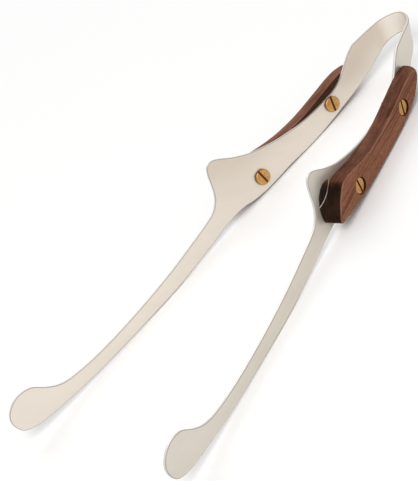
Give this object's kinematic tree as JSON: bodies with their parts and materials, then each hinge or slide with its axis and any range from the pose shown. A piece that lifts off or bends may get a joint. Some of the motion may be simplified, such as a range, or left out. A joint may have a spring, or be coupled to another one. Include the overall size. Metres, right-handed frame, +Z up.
{
  "type": "barbecue tongs",
  "caption": "Sprung steel barbecue tongs: one strip bent into mirrored arms with thumb spurs and rounded gripping ends, wooden scales outside and slotted brass binding screws.",
  "frame": {"origin": "on the floor under the middle of the whole tongs at rest, which lie open with the spurs up, on the back edges of the grips and shafts", "axes": "+Y from the gripping ends to the spring bow, +X from the left arm to the right arm, +Z up"},
  "size_m": [0.167, 0.3808, 0.0469],
  "materials": {
    "steel": "polished, soft reflections",
    "rosewood": "satin oiled",
    "brass": "satin"
  },
  "bodies": {
    "bow": {"spring_bow": "steel"},
    "left_arm": {"left_arm": "steel", "left_scale": "rosewood", "left_upper_screw": "brass", "left_upper_sleeve_nut": "brass", "left_lower_screw": "brass", "left_lower_sleeve_nut": "brass"},
    "right_arm": {"right_arm": "steel", "right_scale": "rosewood", "right_upper_screw": "brass", "right_upper_sleeve_nut": "brass", "right_lower_screw": "brass", "right_lower_sleeve_nut": "brass"}
  },
  "joints": [
    {"name": "left_flex", "type": "hinge", "parent": "bow", "child": "left_arm", "pos_m": [-0.01561, 0.16903, 0.02138], "axis": [0, 0.4618, 0.887], "range_deg": [0, 14.3], "stiffness_Nm_per_rad": 1},
    {"name": "right_flex", "type": "hinge", "parent": "bow", "child": "right_arm", "pos_m": [0.01561, 0.16903, 0.02138], "axis": [0, -0.4618, -0.887], "range_deg": [0, 14.3], "stiffness_Nm_per_rad": 1}
  ],
  "couplings": [
    {"joint": "right_flex", "follows": "left_flex", "ratio": 1}
  ]
}
